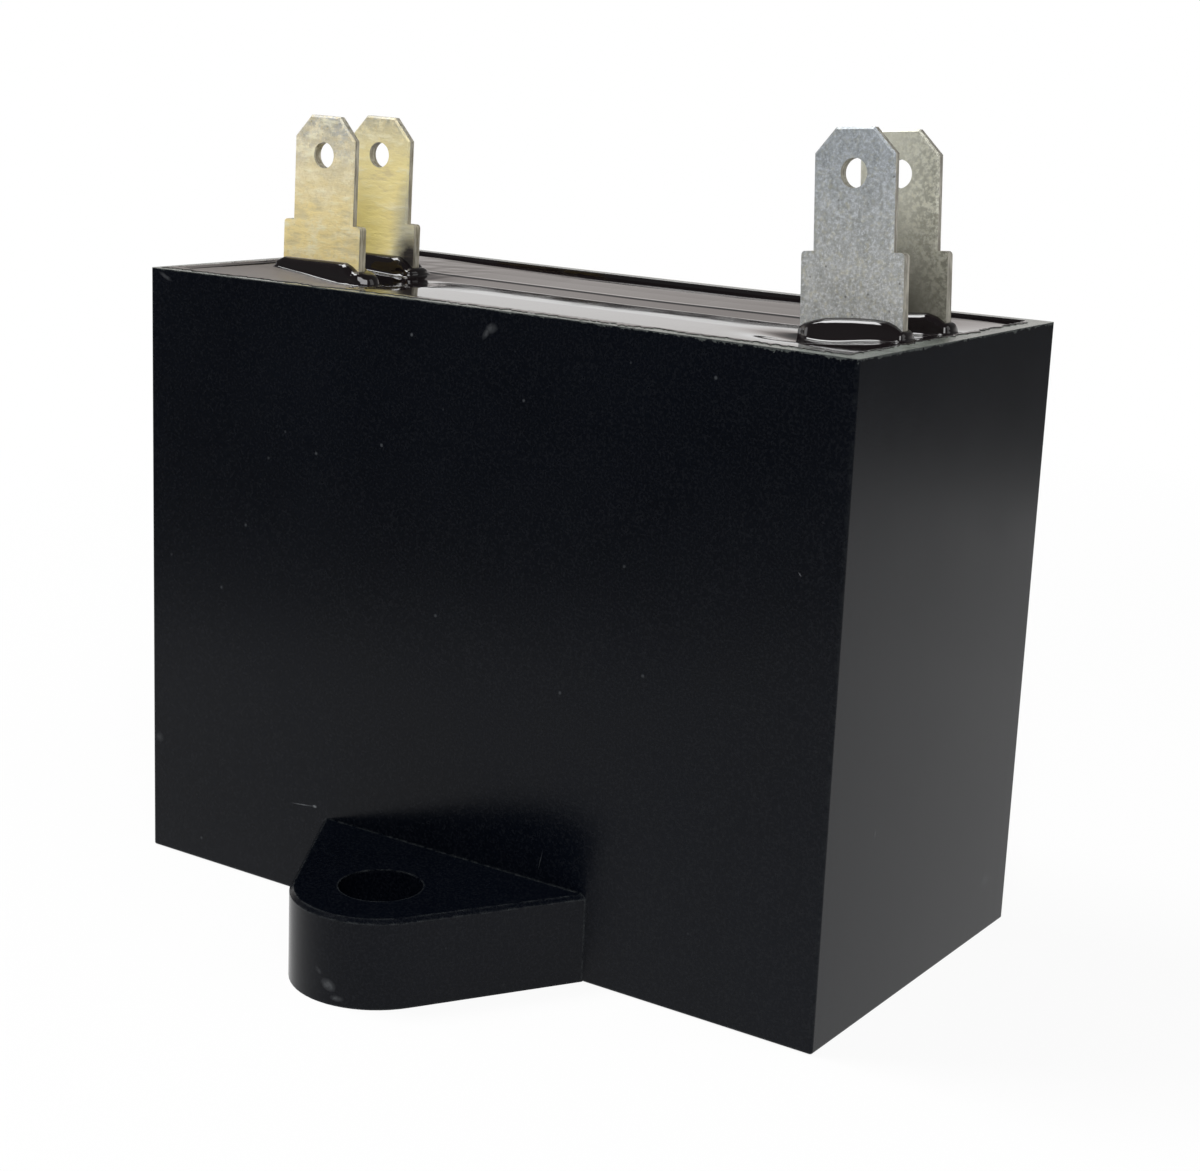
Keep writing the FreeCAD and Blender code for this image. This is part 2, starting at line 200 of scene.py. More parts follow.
# the skin is satin, finely grained and faintly drawn upwards by the mould
sheen = ramp(tree, grain(tree, place, 90, 4, 0.65), (0.3, 0.16), (0.7, 0.24))
sheen = blend(tree, worn, sheen, (0.7, 0.7, 0.7))
tree.links.new(sheen, shader.inputs["Roughness"])
drawn = grain(tree, place, 900, 2, 0.5, stretch=(1, 1, 0.03))
bumps = relief(tree, fine, 0.01 * mm, 0.5)
bumps = relief(tree, drawn, 0.01 * mm, 0.35, bumps)
bumps = relief(tree, worn, 0.02 * mm, 0.6, bumps)
tree.links.new(bumps, shader.inputs["Normal"])
shader.inputs["Specular IOR Level"].default_value = 0.13
dress(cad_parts["case"], plastic)


# Wound film element. Two strips of metallised plastic film, wound together and pressed flat.
# It lies under the resin, so only its silvery wound sides are given, with the faint lines of
# the turns along it.
film, tree, shader = new_finish("wound_metallised_film")
place = place_on_piece(tree)
turns = grain(tree, place, 3200, 2, 0.5, stretch=(0.02, 1, 1))
tone = ramp(tree, turns, (0.3, (0.50, 0.51, 0.52)), (0.7, (0.68, 0.69, 0.70)))
warmer = ramp(tree, grain(tree, place, 70, 4), (0.45, 0.0), (0.8, 0.4))
tone = blend(tree, warmer, tone, (0.56, 0.52, 0.44))
tree.links.new(tone, shader.inputs["Base Color"])
tree.links.new(ramp(tree, turns, (0.3, 0.22), (0.7, 0.34)), shader.inputs["Roughness"])
tree.links.new(relief(tree, turns, 0.03 * mm, 0.5), shader.inputs["Normal"])
shader.inputs["Metallic"].default_value = 0.85
dress(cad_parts["film_winding"], film)


# Sprayed ends. Molten zinc is sprayed on both ends of the winding, where it joins the film's
# edges and sets as a rough grey crust.
zinc, tree, shader = new_finish("sprayed_zinc")
place = place_on_piece(tree)
crust = grain(tree, place, 1900, 5, 0.75)
tone = ramp(tree, crust, (0.3, (0.26, 0.26, 0.27)), (0.7, (0.50, 0.51, 0.52)))
tree.links.new(tone, shader.inputs["Base Color"])
tree.links.new(ramp(tree, crust, (0.3, 0.75), (0.7, 0.55)), shader.inputs["Roughness"])
tree.links.new(relief(tree, crust, 0.12 * mm, 0.9), shader.inputs["Normal"])
shader.inputs["Metallic"].default_value = 1.0
for side in ("left", "right"):
    dress(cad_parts["end_spray_" + side], zinc)


# Terminals. Each is one strip of tinned brass, punched with its cut corners and holes, coined
# along its edges and folded into a U, so that two blades stand up. The tin is dull and mottled.
# The left pair's warm yellow is a painted reflection, and the front faces of the back blades
# carry painted light and shade.
blade_reach = 13.0 * mm


def mottled_tin(tree, place, low, mid, top):
    """The tin's grey mottles, with finer light, dark and warm spots on them."""
    mottle = grain(tree, place, 900, 5, 0.75)
    crisp = grain(tree, place, 4300, 3, 0.75)
    warm = grain(tree, place, 2600, 3, 0.7)
    streaks = grain(tree, place, 1500, 3, 0.6, stretch=(1, 1, 0.22))
    tone = ramp(tree, mottle, (0.30, low), (0.5, mid), (0.70, top))
    tone = blend(tree, ramp(tree, crisp, (0.50, 0.0), (0.64, 0.6)), tone, (0.95, 0.96, 0.97))
    tone = blend(tree, ramp(tree, crisp, (0.34, 0.7), (0.47, 0.0)), tone, (0.34, 0.33, 0.28))
    tone = blend(tree, ramp(tree, warm, (0.52, 0.0), (0.68, 0.35)), tone, (0.80, 0.74, 0.50))
    tone = blend(tree, ramp(tree, streaks, (0.42, 0.0), (0.8, 0.3)), tone, (0.84, 0.85, 0.84))
    return tone, mottle, crisp, warm


def painted_warm_reflection(tree, place, tone, mottle, warm, high, patchy, behind):
    """The left pair's painted warm reflection and ripples, and a painted dark reflection on its back
    blade.
    """
    # the painted warm reflection is strongest low down and thins out to the tips
    warm_reflection = ramp(tree, calc(tree, "ADD", high, patchy), (0.25, 0.95), (0.62, 0.6), (0.95, 0.1))
    tone = blend(tree, warm_reflection, tone, (1.0, 0.81, 0.36))
    tone = blend(tree, ramp(tree, mottle, (0.50, 0.0), (0.62, 0.6)), tone, (1.0, 0.90, 0.62))
    tone = blend(tree, ramp(tree, warm, (0.34, 0.5), (0.46, 0.0)), tone, (0.74, 0.62, 0.34))
    # painted light: the back blade's front face is painted lighter, fading towards the tip
    painted_back_light = calc(tree, "MULTIPLY", behind, ramp(tree, high, (0.62, 0.9), (0.95, 0.1)))
    tone = blend(tree, painted_back_light, tone, (1.0, 0.875, 0.42))
    # faint ripples from rolling and handling; their light and dark tones are painted highlights and
    # painted shade
    ripples = grain(tree, place, 1500, 3, 0.6, stretch=(0.3, 1, 1), turn=(0, math.radians(6), 0))
    tone = blend(tree, ramp(tree, ripples, (0.55, 0.0), (0.68, 0.6)), tone, (1.0, 0.95, 0.70))
    tone = blend(tree, ramp(tree, ripples, (0.34, 0.6), (0.46, 0.0)), tone, (0.70, 0.60, 0.36))
    # the back blade gets a stronger painted yellow reflection low down at its left side, and is grey
    # at its right side
    painted_yellow_reflection = mark(tree, place, (-26.8, 3.1, 51.0), (4.4, 1.5, 4.6), soft=0.6)
    painted_yellow_reflection = calc(tree, "MULTIPLY", calc(tree, "MULTIPLY", behind, painted_yellow_reflection), 0.75)
    tone = blend(tree, painted_yellow_reflection, tone, (1.0, 0.86, 0.30))
    grey = mark(tree, place, (-20.4, 3.1, 51.0), (2.8, 1.5, 6.0), soft=0.5)
    grey = calc(tree, "MULTIPLY", calc(tree, "MULTIPLY", behind, grey), 0.8)
    tone = blend(tree, grey, tone, (0.50, 0.50, 0.42))
    # a painted dark reflection low down at the back blade's right side
    painted_dark_reflection = mark(tree, place, (-21.0, 3.1, 49.3), (2.0, 1.5, 2.1), soft=0.8)
    painted_dark_reflection = calc(tree, "MULTIPLY", painted_dark_reflection, calc(tree, "MULTIPLY_ADD", patchy, 2.4, 1.2))
    return blend(tree, painted_dark_reflection, tone, (0.03, 0.027, 0.027)), ripples


def painted_back_light_and_shade(tree, place, tone, warm, across, behind):
    """The right pair's back blade: painted light on its front face, painted shade low down, and
    speckled along its right edge.
    """
    # painted light: the back blade's front face is painted lighter
    tone = blend(tree, calc(tree, "MULTIPLY", behind, 0.6), tone, (0.92, 0.89, 0.70))
    # painted shade low down on the back blade's front face, between the two blades
    painted_shade_low = mark(tree, place, (25.0, 3.4, 49.4), (9.0, 1.5, 8.2), soft=0.85)
    tone = blend(tree, calc(tree, "MULTIPLY", behind, painted_shade_low), tone, (0.06, 0.056, 0.045))
    right_edge = ramp(tree, calc(tree, "DIVIDE", across, 50 * mm), (0.46, 0.0), (0.56, 0.7))
    speckled = calc(tree, "MULTIPLY", right_edge, ramp(tree, warm, (0.42, 1.0), (0.58, 0.1)))
    return blend(tree, calc(tree, "MULTIPLY", behind, speckled), tone, (0.12, 0.115, 0.085))


def tinned_sheet(name, with_warm_reflection):
    """Dull, mottled tin on brass, with or without the painted warm reflection."""
    sheet, tree, shader = new_finish(name)
    place = place_on_piece(tree)
    spot = put(tree, "SeparateXYZ", {0: place})
    facing = put(tree, "SeparateXYZ", {0: put(tree, "NewGeometry").outputs["Normal"]}).outputs[1]
    if with_warm_reflection:
        # the left pair is painted lighter and less metallic, as part of its painted warm reflection
        greys = (0.66, 0.67, 0.66), (0.88, 0.88, 0.86), (1.0, 1.0, 0.98)
        tip_tone, metal = (0.38, 0.42, 0.48), 0.12
    else:
        greys = (0.37, 0.38, 0.37), (0.49, 0.50, 0.49), (0.63, 0.64, 0.63)
        tip_tone, metal = (0.70, 0.74, 0.80), 0.38
    tone, mottle, crisp, warm = mottled_tin(tree, place, *greys)
    pits = put(tree, "TexVoronoi", {"Vector": place, "Scale": 1700.0})
    speck = ramp(tree, pits.outputs["Distance"], (0.08, 1.0), (0.20, 0.0))
    chosen = put(tree, "SeparateColor", {"Color": pits.outputs["Color"]}).outputs[0]
    speck = calc(tree, "MULTIPLY", speck, calc(tree, "GREATER_THAN", chosen, 0.86))
    tone = blend(tree, calc(tree, "MULTIPLY", speck, 0.7), tone, (0.09, 0.085, 0.07))
    # the tin is duller and bluer towards the tips
    high = calc(tree, "MULTIPLY_ADD", spot.outputs[2], 1 / blade_reach, -case_height / blade_reach)
    tone = blend(tree, ramp(tree, high, (0.25, 0.0), (0.95, 1.0)), tone, tip_tone, "MULTIPLY")
    patchy = grain(tree, place, 420, 5, 0.7, stretch=(1, 1, 1.6))
    patchy = calc(tree, "MULTIPLY_ADD", patchy, 0.7, -0.35)
    # the front faces of the two blades behind
    behind = calc(tree, "MULTIPLY", calc(tree, "LESS_THAN", facing, -0.5),
                  calc(tree, "GREATER_THAN", spot.outputs[1], 0.0))
    ripples = None
    if with_warm_reflection:
        tone, ripples = painted_warm_reflection(tree, place, tone, mottle, warm, high, patchy, behind)
    else:
        tone = painted_back_light_and_shade(tree, place, tone, warm, spot.outputs[0], behind)
    # where the strip was cut, the brass shows through
    cut = calc(tree, "LESS_THAN", calc(tree, "ABSOLUTE", facing), 0.3)
    sheared = grain(tree, place, 3800, 3, 0.7, stretch=(1, 1, 0.12))
    bare = ramp(tree, sheared, (0.38, (0.21, 0.19, 0.145)), (0.50, (0.36, 0.335, 0.27)),
                (0.64, (0.60, 0.57, 0.48)))
    tone = blend(tree, calc(tree, "MULTIPLY", cut, 0.85), tone, bare)
    tree.links.new(tone, shader.inputs["Base Color"])
    tree.links.new(ramp(tree, mottle, (0.3, 0.46), (0.7, 0.33)), shader.inputs["Roughness"])
    bumps = relief(tree, mottle, 0.02 * mm, 0.5)
    bumps = relief(tree, crisp, 0.008 * mm, 0.7, bumps)
    if ripples is not None:
        bumps = relief(tree, ripples, 0.08 * mm, 0.9, bumps)
    bumps = relief(tree, calc(tree, "SUBTRACT", 1.0, speck), 0.02 * mm, 0.6, bumps)
    tree.links.new(bumps, shader.inputs["Normal"])
    shader.inputs["Metallic"].default_value = metal
    return sheet


dress(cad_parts["terminal_left"], tinned_sheet("warm_reflection_tinned_sheet", True))
dress(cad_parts["terminal_right"], tinned_sheet("tinned_brass_sheet", False))


# Lead strips. A flat strip of soft tinned copper runs from each sprayed end up beside the
# winding, turns in and is soldered under its terminal's fold.
strip, tree, shader = new_finish("tinned_copper_strip")
place = place_on_piece(tree)
rolled = grain(tree, place, 2400, 3, 0.6, stretch=(1, 1, 0.08))
tone = ramp(tree, rolled, (0.3, (0.55, 0.55, 0.53)), (0.7, (0.70, 0.70, 0.69)))
tree.links.new(tone, shader.inputs["Base Color"])
tree.links.new(ramp(tree, rolled, (0.3, 0.26), (0.7, 0.36)), shader.inputs["Roughness"])
tree.links.new(relief(tree, rolled, 0.01 * mm, 0.5), shader.inputs["Normal"])
shader.inputs["Metallic"].default_value = 1.0
for side in ("left", "right"):
    dress(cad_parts["lead_strip_" + side], strip)


# Solder. Low mounds of tin solder, melted on to join each strip to its sprayed end and to the
# fold of its terminal, and set with a frosted skin.
solder, tree, shader = new_finish("set_solder")
place = place_on_piece(tree)
frosting = grain(tree, place, 1300, 4, 0.6)
tone = ramp(tree, frosting, (0.3, (0.52, 0.53, 0.54)), (0.7, (0.68, 0.69, 0.70)))
tree.links.new(tone, shader.inputs["Base Color"])
tree.links.new(ramp(tree, frosting, (0.3, 0.42), (0.7, 0.22)), shader.inputs["Roughness"])
tree.links.new(relief(tree, frosting, 0.02 * mm, 0.4), shader.inputs["Normal"])
shader.inputs["Metallic"].default_value = 1.0
for side in ("left", "right"):
    for joint in ("end_joint_", "terminal_joint_"):
        dress(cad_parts[joint + side], solder)


# Potting resin. Black epoxy poured round everything to just under the rim, where it set hollow
# and glossy, with shallow dents in front of the blades. The skin round the left pair is dull.
inside_length, inside_depth = case_length - 2 * case_wall, case_depth - 2 * case_wall
inside_corner = 0.4 * mm
resin_floor = 2.0 * mm
wall_overlap = 0.02 * mm
shank_width, sheet_thickness, blade_pitch = 8.15 * mm, 0.8 * mm, 6.9 * mm
# how far each terminal stands from the middle, and its turn in degrees about X and about Y
shank_x = 24.675 * mm
tilt = {"left": (-0.4, 1.0), "right": (-1.7, -3.9)}
# height of the surface in millimetres along the middle of the case, from the front wall at -1 to
# the back wall at 1
hollow_line = (
    (-1.0, 48.42), (-0.947, 48.37), (-0.902, 48.33), (-0.375, 48.09), (0.135, 47.75),
    (0.353, 47.83), (0.376, 47.89), (0.414, 47.88), (0.632, 47.93), (0.85, 48.0),
    (0.947, 48.07), (1.0, 48.12),
)
# how far the surface stays under the rim along the back wall, from the left end to the right end
back_gap_line = ((-1.0, 0.10), (-0.7, 0.20), (-0.3, 0.26), (0.2, 0.26), (0.6, 0.19), (0.9, 0.10),
                 (1.0, 0.08))
back_fall = 0.38 * mm
# height along the two end walls, at the front, and how much lower it is at the back
end_level, end_fall = 48.42 * mm, 0.12 * mm
# how much the surface climbs close to a blade, and how fast that fades out
climb, climb_reach = 0.12 * mm, 0.8 * mm
# dents in front of the blades, in millimetres: centre x and y, reach to the left, to the right
# and across, depth
dents = ((23.0, -6.0, 6.0, 5.5, 5.0, 0.5), (-20.0, -4.5, 11.0, 6.5, 9.0, 0.75))


def blade_foot(side, s, z):
    """Where a blade's middle plane crosses the level z."""
    pitch, lean = (math.radians(a) for a in tilt[side])
    turn = Quaternion((0, 1, 0), lean) @ Quaternion((1, 0, 0), pitch)
    start = Vector(((-1 if side == "left" else 1) * shank_x, 0, case_height))
    foot = start + turn @ Vector((0, s * blade_pitch / 2, 0))
    axis = turn @ Vector((0, 0, 1))
    return foot + axis * ((z - foot.z) / axis.z)


def inside_half_depth(x):
    """Half the clear depth between the drawn-in walls at the rim."""
    half = inside_depth / 2
    straight = inside_length / 2 - inside_corner
    if abs(x) > straight:
        reach = min(abs(x) - straight, inside_corner)
        return half - inside_corner + math.sqrt(inside_corner ** 2 - reach ** 2)
    return half - mouth_draw * (1 - (x / straight) ** 2)


def along_line(line, t):
    """The value at t on a line of (place, value) points."""
    for (t0, v0), (t1, v1) in zip(line, line[1:]):
        if t <= t1:
            f = max(0.0, (t - t0) / (t1 - t0))
            return v0 + (v1 - v0) * f
    return line[-1][1]


def smooth(t):
    """0 below 0 and 1 above 1, with an easy rise between."""
    t = min(1.0, max(0.0, t))
    return t * t * (3 - 2 * t)


# where the four blades come out of the resin, by side and by front (-1) or back (1)
feet = {(side, s): blade_foot(side, s, 48.3 * mm) for side in tilt for s in (-1, 1)}


def near_blades(x, y):
    """How much higher the resin stands close to the blades, and lower in front of them."""
    best = 0.0
    for foot in feet.values():
        dx = max(0.0, abs(x - foot.x) - shank_width / 2)
        dy = max(0.0, abs(y - foot.y) - sheet_thickness / 2)
        d = math.hypot(dx, dy)
        if d < 6 * mm:
            best = max(best, climb * math.exp(-d / climb_reach))
    for dent_x, dent_y, to_left, to_right, across, depth in dents:
        dx = x / mm - dent_x
        away = math.hypot(dx / (to_left if dx < 0 else to_right), (y / mm - dent_y) / across)
        best -= depth * mm * math.exp(-3.0 * away ** 2)
    return best


def resin_level(x, y):
    """Height of the set surface: high at the walls, lowest just behind the middle."""
    u = 2 * x / inside_length
    v = y / inside_half_depth(x)
    wander = 0.012 * math.sin(5.1 * u + 1.0) + 0.02 * noise.noise(Vector((x * 90, v, 4.0)))
    middle = along_line(hollow_line, v + wander * (1 - v * v)) * mm
    middle += (back_fall - along_line(back_gap_line, u) * mm) * smooth((v + 0.1) / 1.1)
    end = end_level - end_fall * smooth((v + 1) / 2)
    level = end + (middle - end) * (1 - u ** 6)
    # the dull skin at the left is slightly wrinkled
    wrinkled = smooth((-0.52 - u) / 0.1) * (1 - v * v)
    level += wrinkled * 0.02 * mm * noise.noise(Vector((x * 700, y * 700, 1.7)))
    return level + near_blades(x, y)


def pour_resin():
    """A grid drawn to the case's inside and pulled down to the floor as a block."""
    bpy.ops.object.select_all(action="DESELECT")
    bpy.ops.mesh.primitive_grid_add(x_subdivisions=300, y_subdivisions=150, size=2)
    made = bpy.context.object
    made.name = "resin_fill"
    for corner in made.data.vertices:
        x = corner.co.x * (inside_length / 2 + wall_overlap)
        half = inside_half_depth(min(max(x, -inside_length / 2), inside_length / 2)) + wall_overlap
        y = corner.co.y * half
        corner.co = (x, y, resin_level(x, y))
    bpy.ops.object.mode_set(mode="EDIT")
    bpy.ops.mesh.select_all(action="SELECT")
    bpy.ops.mesh.extrude_region_move(TRANSFORM_OT_translate={"value": (0, 0, -40 * mm)})
    bpy.ops.transform.resize(value=(1, 1, 0), center_override=(0, 0, resin_floor))
    bpy.ops.mesh.delete(type="FACE")
    bpy.ops.mesh.select_mode(type="EDGE")
    bpy.ops.mesh.select_non_manifold()
    bpy.ops.mesh.edge_face_add()
    bpy.ops.mesh.select_all(action="SELECT")
    bpy.ops.mesh.normals_make_consistent(inside=False)
    bpy.ops.object.mode_set(mode="OBJECT")
    bpy.ops.object.shade_smooth_by_angle(angle=math.radians(50))
    return made


resin_fill = pour_resin()
resin, tree, shader = new_finish("glossy_black_resin")
place = place_on_piece(tree)
spot = put(tree, "SeparateXYZ", {0: place})
cloud = grain(tree, place, 260, 4, 0.6)
# the skin is dull round the left pair and glossy everywhere else; the dull part is painted with a
# pale brownish sheen
edge_of_dull = calc(tree, "MULTIPLY_ADD", cloud, 3.0 * mm, -24.6 * mm)
slanting = calc(tree, "MULTIPLY_ADD", spot.outputs[1], 0.71, spot.outputs[0])
dull = calc(tree, "LESS_THAN", slanting, edge_of_dull)
facing = put(tree, "SeparateXYZ", {0: put(tree, "NewGeometry").outputs["Normal"]})
flat_up = calc(tree, "GREATER_THAN", facing.outputs[2], 0.95)
dull = calc(tree, "MULTIPLY", dull, flat_up)
tint = ramp(tree, grain(tree, place, 120, 3), (0.3, (0.0040, 0.0026, 0.0032)),
            (0.7, (0.0080, 0.0048, 0.0056)))
# seen at a low angle the dull skin is pale with a painted sheen, and seen from above it is nearly
# black
turned_away = put(tree, "LayerWeight", {"Blend": 0.5}).outputs["Facing"]
painted_sheen = ramp(tree, turned_away, (0.60, 0.12), (0.86, 1.0))
tint = blend(tree, calc(tree, "MULTIPLY", dull, painted_sheen), tint, (0.19, 0.172, 0.163))
tree.links.new(tint, shader.inputs["Base Color"])
gloss = ramp(tree, cloud, (0.35, 0.03), (0.75, 0.08))
gloss = blend(tree, dull, gloss, (0.48, 0.48, 0.48))
tree.links.new(gloss, shader.inputs["Roughness"])
tree.links.new(relief(tree, grain(tree, place, 700, 3), 0.003 * mm, 0.3), shader.inputs["Normal"])
resin_fill.data.materials.append(resin)
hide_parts("potting_resin")
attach(resin_fill, "root")


# Resin collars. As the resin set it drew up each blade as a fat, rolled lip. The left pair's
# lips run down towards the middle of the case and end in small drips.
low_lip, high_lip = 48.25 * mm, 50.0 * mm
# side view of a lip, from the blade outwards: distance from the blade in millimetres, and share of
# the lip's height
lip_line = (
    (0.02, 0.96), (0.12, 1.00), (0.30, 0.985), (0.50, 0.92), (0.68, 0.80), (0.80, 0.64),
    (0.87, 0.47), (0.91, 0.31), (0.95, 0.17), (1.02, 0.08), (1.11, 0.03), (1.20, 0.005),
    (1.28, -0.10),
)
# how high each lip stands along its blade, from the left end at -1 to the right end at 1, as a
# share of the way from the low level to the high one
lip_heights = {
    ("left", -1): ((-1.0, 0.36), (-0.9, 0.48), (0.72, 0.51), (0.86, 0.38), (1.0, 0.16)),
    ("left", 1): ((-1.0, 0.45), (-0.85, 0.60), (0.68, 0.60), (0.85, 0.40), (1.0, 0.12)),
    ("right", -1): ((-1.0, 0.15), (-0.9, 0.32), (-0.67, 0.50), (-0.47, 0.62), (-0.25, 0.69),
                    (0.1, 0.76), (0.5, 0.80), (0.75, 0.76), (0.9, 0.62), (1.0, 0.44)),
    ("right", 1): ((-1.0, 0.4), (-0.7, 0.62), (0.3, 0.74), (0.66, 0.82), (0.85, 0.70),
                   (1.0, 0.48)),
}
# how much of its distance a lip keeps round the blade's left and right ends
overhang = {("left", -1): (0.4, 1.7), ("left", 1): (0.4, 0.8),
            ("right", -1): (0.15, 0.5), ("right", 1): (0.3, 0.6)}
# shares of the way from the ball's top to its bottom where the lip begins and ends, and the share
# of each quarter that turns round the blade's end
lip_begins, lip_ends, turn_share = 0.08, 0.88, 0.3
# the level at which a blade's place is taken to find the resin's height beside it
collar_level = 48.6 * mm


def roll_collar(name, side, s):
    """A ball drawn out round one blade as a rolled lip."""
    bpy.ops.object.select_all(action="DESELECT")
    bpy.ops.mesh.primitive_uv_sphere_add(segments=128, ring_count=36, radius=1)
    made = bpy.context.object
    made.name = name
    for point in made.data.vertices:
        down = math.acos(max(-1.0, min(1.0, point.co.z))) / math.pi
        around = math.atan2(point.co.y, point.co.x)
        quarter = abs(math.atan2(abs(point.co.y), abs(point.co.x))) / (math.pi / 2)
        sx, sy = (1 if math.cos(around) > 0 else -1), (1 if math.sin(around) > 0 else -1)
        if down < lip_begins:
            spread, rise, shrink = 0.02, 0.96, down / lip_begins
        elif down < lip_ends:
            t = (down - lip_begins) / (lip_ends - lip_begins) * (len(lip_line) - 1)
            i = min(int(t), len(lip_line) - 2)
            f = t - i
            spread = lip_line[i][0] * (1 - f) + lip_line[i + 1][0] * f
            rise = lip_line[i][1] * (1 - f) + lip_line[i + 1][1] * f
            shrink = 1.0
        else:
            spread, rise, shrink = 2.0, -0.3, max(0.0, (1.0 - down) / (1.0 - lip_ends))
        end = overhang[side, s][0 if sx < 0 else 1]
        if quarter < turn_share:
            phi = quarter / turn_share * math.pi / 2
            x = shank_width / 2 + spread * mm * end * math.cos(phi)
            y = (sheet_thickness / 2 + spread * mm) * math.sin(phi)
        else:
            x = shank_width / 2 * (1 - (quarter - turn_share) / (1 - turn_share))
            y = sheet_thickness / 2 + spread * mm
        t = max(-1.0, min(1.0, x * sx / (shank_width / 2)))
        if side == "right" and y > sheet_thickness / 2:
            # the right pair's lips are fat along the middle and thin at the ends
            slim = 0.7 * smooth((-t - 0.72) / 0.28) + 0.3 * smooth((t - 0.6) / 0.4)
            y = sheet_thickness / 2 + (y - sheet_thickness / 2) * (1 - slim)
        x, y = x * sx * shrink, y * sy * shrink
        if side == "left":
            # the left pair's lips run down in drips at the end nearest the middle of the case
            drip = smooth((t - 0.5) / 0.3) * smooth(rise / 0.2) * min(1.0, spread / 0.5)
            y += sy * drip * 0.12 * mm * noise.noise(Vector((x * 1300, rise * 3.2, 8.0 + s)))
        top = low_lip + (high_lip - low_lip) * along_line(lip_heights[side, s], t)
        centre = blade_foot(side, s, collar_level)
        foot_z = resin_level(centre.x + x, centre.y + y)
        z = foot_z + (top - foot_z) * rise if rise > 0 else foot_z + rise * mm
        centre = blade_foot(side, s, z)
        point.co = (centre.x + x, centre.y + y, z)
    bpy.ops.object.mode_set(mode="EDIT")
    bpy.ops.mesh.select_all(action="SELECT")
    bpy.ops.mesh.normals_make_consistent(inside=False)
    bpy.ops.object.mode_set(mode="OBJECT")
    bpy.ops.object.shade_smooth()
    made.data.materials.append(resin)
    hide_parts("potting_resin")
    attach(made, "root")


for side, s in feet:
    roll_collar("resin_collar_" + side + ("_front" if s < 0 else "_back"), side, s)


# Resin film. The fill ran over the inner edge of the case and set there as a thin skin with a
# ragged border. It lies on the front and the two ends, and hardly any on the back.
narrowest, widest = 0.05, 1.5
# how wide the film usually is on the right, back, left and front side, in millimetres
film_widths = (0.25, 0.05, 0.6, 0.85)


def film_width(side, p, q):
    """How far the ragged border reaches over the rim at one place along a side."""
    if side == 1:
        return narrowest * mm
    wide = film_widths[side]
    if side == 3:
        wide -= 0.45 * smooth((p - 0.4) / 0.4)
    wide += 0.6 * noise.noise(Vector((p * 9, q * 5, 2.0)))
    wide += 0.5 * noise.noise(Vector((p * 60, q * 30, 7.0)))
    wide += 0.55 * noise.noise(Vector((p * 260, q * 120, 5.0)))
    return min(widest, max(narrowest, wide)) * mm


def spread_film():
    """A small ring spun round into a hoop, then laid along the inner edge."""
    steps, section = 900, 10
    bpy.ops.object.select_all(action="DESELECT")
    bpy.ops.mesh.primitive_circle_add(vertices=section, radius=0.2, location=(1, 0, 0),
                                      rotation=(math.pi / 2, 0, 0))
    made = bpy.context.object
    made.name = "resin_film"
    bpy.ops.object.transform_apply(location=True, rotation=True)
    bpy.ops.object.mode_set(mode="EDIT")
    bpy.ops.mesh.select_all(action="SELECT")
    bpy.ops.mesh.spin(steps=steps, angle=2 * math.pi, center=(0, 0, 0), axis=(0, 0, 1))
    bpy.ops.mesh.select_all(action="SELECT")
    bpy.ops.mesh.remove_doubles(threshold=0.0005)
    bpy.ops.object.mode_set(mode="OBJECT")
    sides = (inside_depth, inside_length, inside_depth, inside_length)
    corners = ((1, -1), (1, 1), (-1, 1), (-1, -1), (1, -1))
    for point in made.data.vertices:
        around = math.atan2(point.co.y, point.co.x) / (2 * math.pi)
        i = round(around * steps) % steps
        out = math.hypot(point.co.x, point.co.y) - 1.0
        j = round(math.atan2(point.co.z, out) / (2 * math.pi) * section) % section
        run = i / steps * sum(sides)
        side = 0
        while run > sides[side] and side < 3:
            run -= sides[side]
            side += 1
        f = run / sides[side]
        p = corners[side][0] * (1 - f) + corners[side + 1][0] * f
        q = corners[side][1] * (1 - f) + corners[side + 1][1] * f
        wide = film_width(side, p, q)
        reach = (0.05 if side == 1 else 0.35) * mm
        half = inside_half_depth(max(-1.0, min(1.0, p)) * inside_length / 2)
        level = resin_level(p * (inside_length / 2 - reach), q * (half - reach))
        low = level - 0.015 * mm - case_height
        # the film's outline across the edge: how far outwards and how far above the rim
        section_line = (
            (wide, 0.012 * mm), (wide - 0.025 * mm, 0.045 * mm), (wide * 0.66, 0.055 * mm),
            (wide * 0.3, 0.06 * mm), (0.0, 0.045 * mm), (-reach * 0.5, low * 0.5 + 0.03 * mm),
            (-reach, low), (-reach, low - 0.15 * mm), (-0.01 * mm, -0.02 * mm),
            (wide - 0.01 * mm, -0.004 * mm),
        )
        out, up = section_line[j]
        x = p * (inside_length / 2 + out)
        y = q * (half + out)
        point.co = (x, y, case_height + up)
    bpy.ops.object.mode_set(mode="EDIT")
    bpy.ops.mesh.select_all(action="SELECT")
    bpy.ops.mesh.normals_make_consistent(inside=False)
    bpy.ops.object.mode_set(mode="OBJECT")
    bpy.ops.object.shade_smooth_by_angle(angle=math.radians(60))
    made.data.materials.append(resin)
    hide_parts("potting_resin")
    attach(made, "root")


spread_film()


